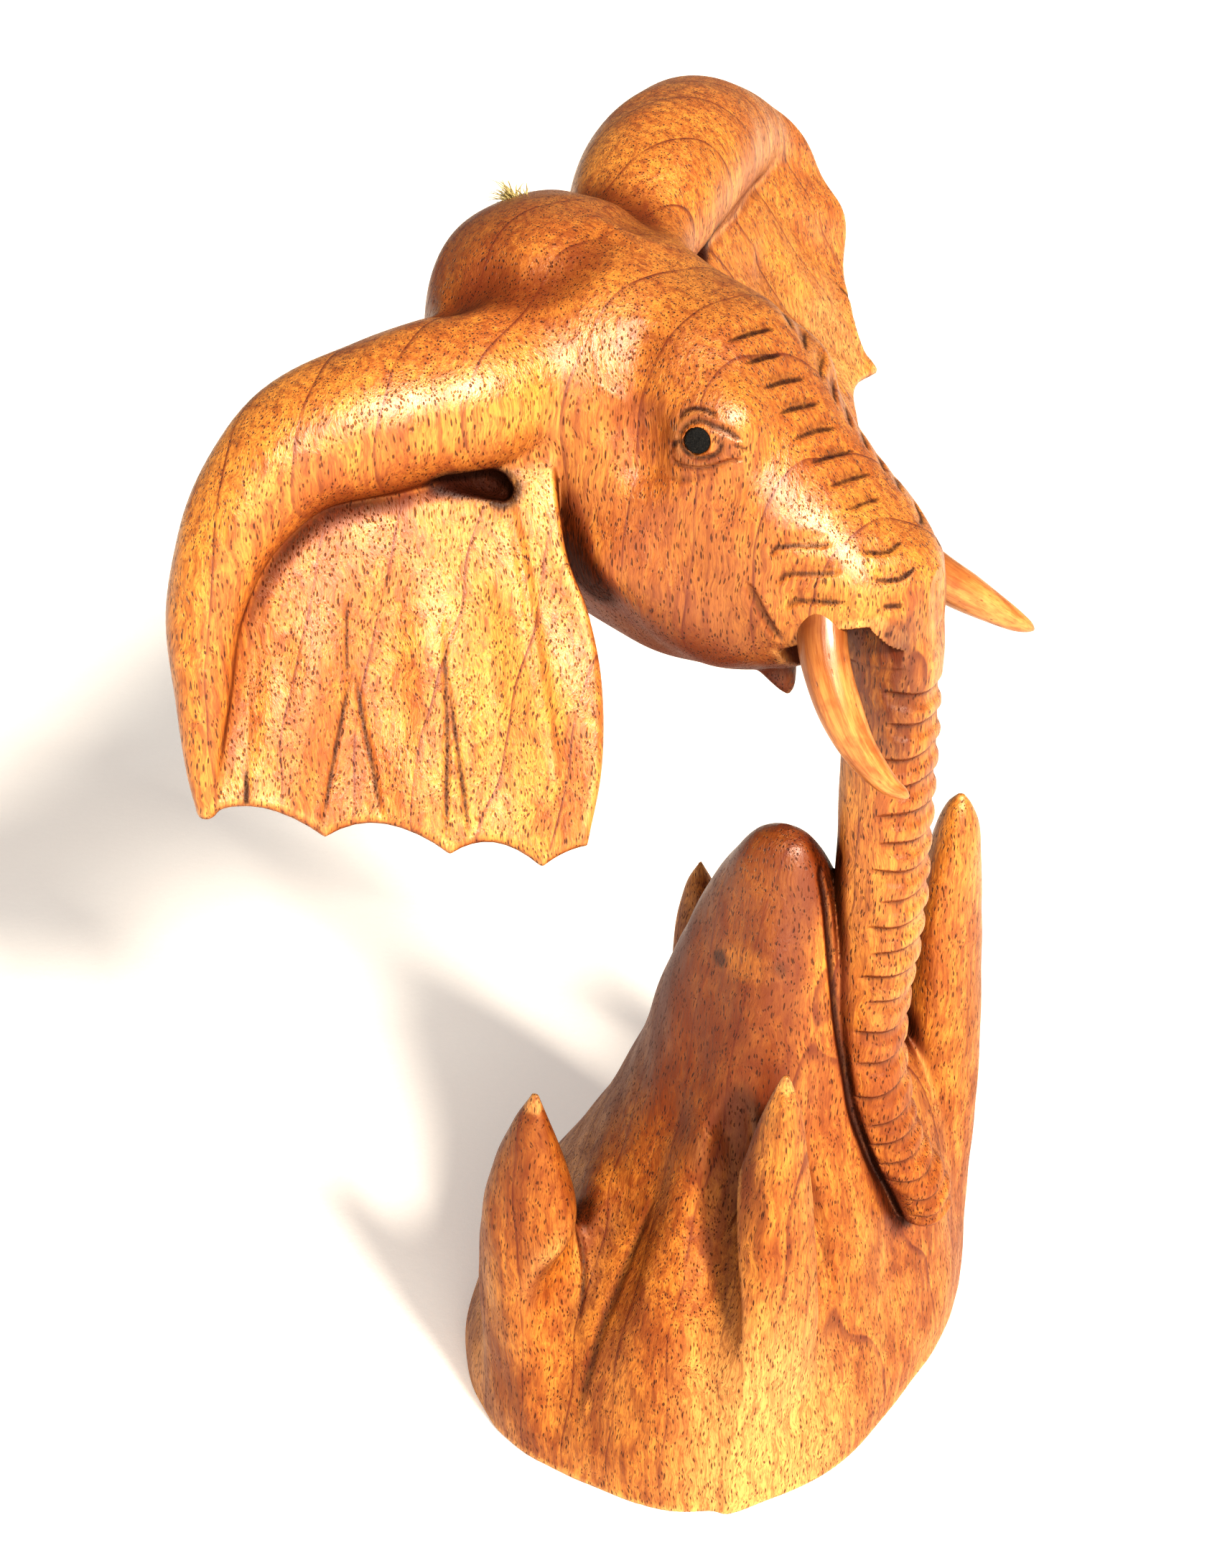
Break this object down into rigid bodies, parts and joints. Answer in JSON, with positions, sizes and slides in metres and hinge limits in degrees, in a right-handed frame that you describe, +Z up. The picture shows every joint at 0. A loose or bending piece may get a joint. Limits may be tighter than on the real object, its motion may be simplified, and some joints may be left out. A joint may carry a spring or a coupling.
{
  "type": "carved wooden elephant head figurine",
  "caption": "Hand-carved wooden elephant head with flared ears and tusks, its long ringed trunk rising from a mound of pointed leaves on a flat underside.",
  "frame": {"origin": "centre of the flat underside, on the resting plane", "axes": "+Z up; the elephant faces -Y; its right side is -X and its left side is +X"},
  "size_m": [0.1968, 0.1216, 0.2643],
  "materials": {
    "carved_wood": "satin lacquered golden-orange hardwood with dark open pores",
    "tusk_wood": "satin lacquered paler hardwood",
    "pupil": "matte black filler",
    "plant_fibre": "dry frayed plant fibre"
  },
  "bodies": {
    "root": {"elephant_carving": "carved_wood", "right_tusk": "tusk_wood", "left_tusk": "tusk_wood", "right_eye_pupil": "pupil", "left_eye_pupil": "pupil", "crown_fibre_tuft": "plant_fibre"}
  },
  "joints": []
}
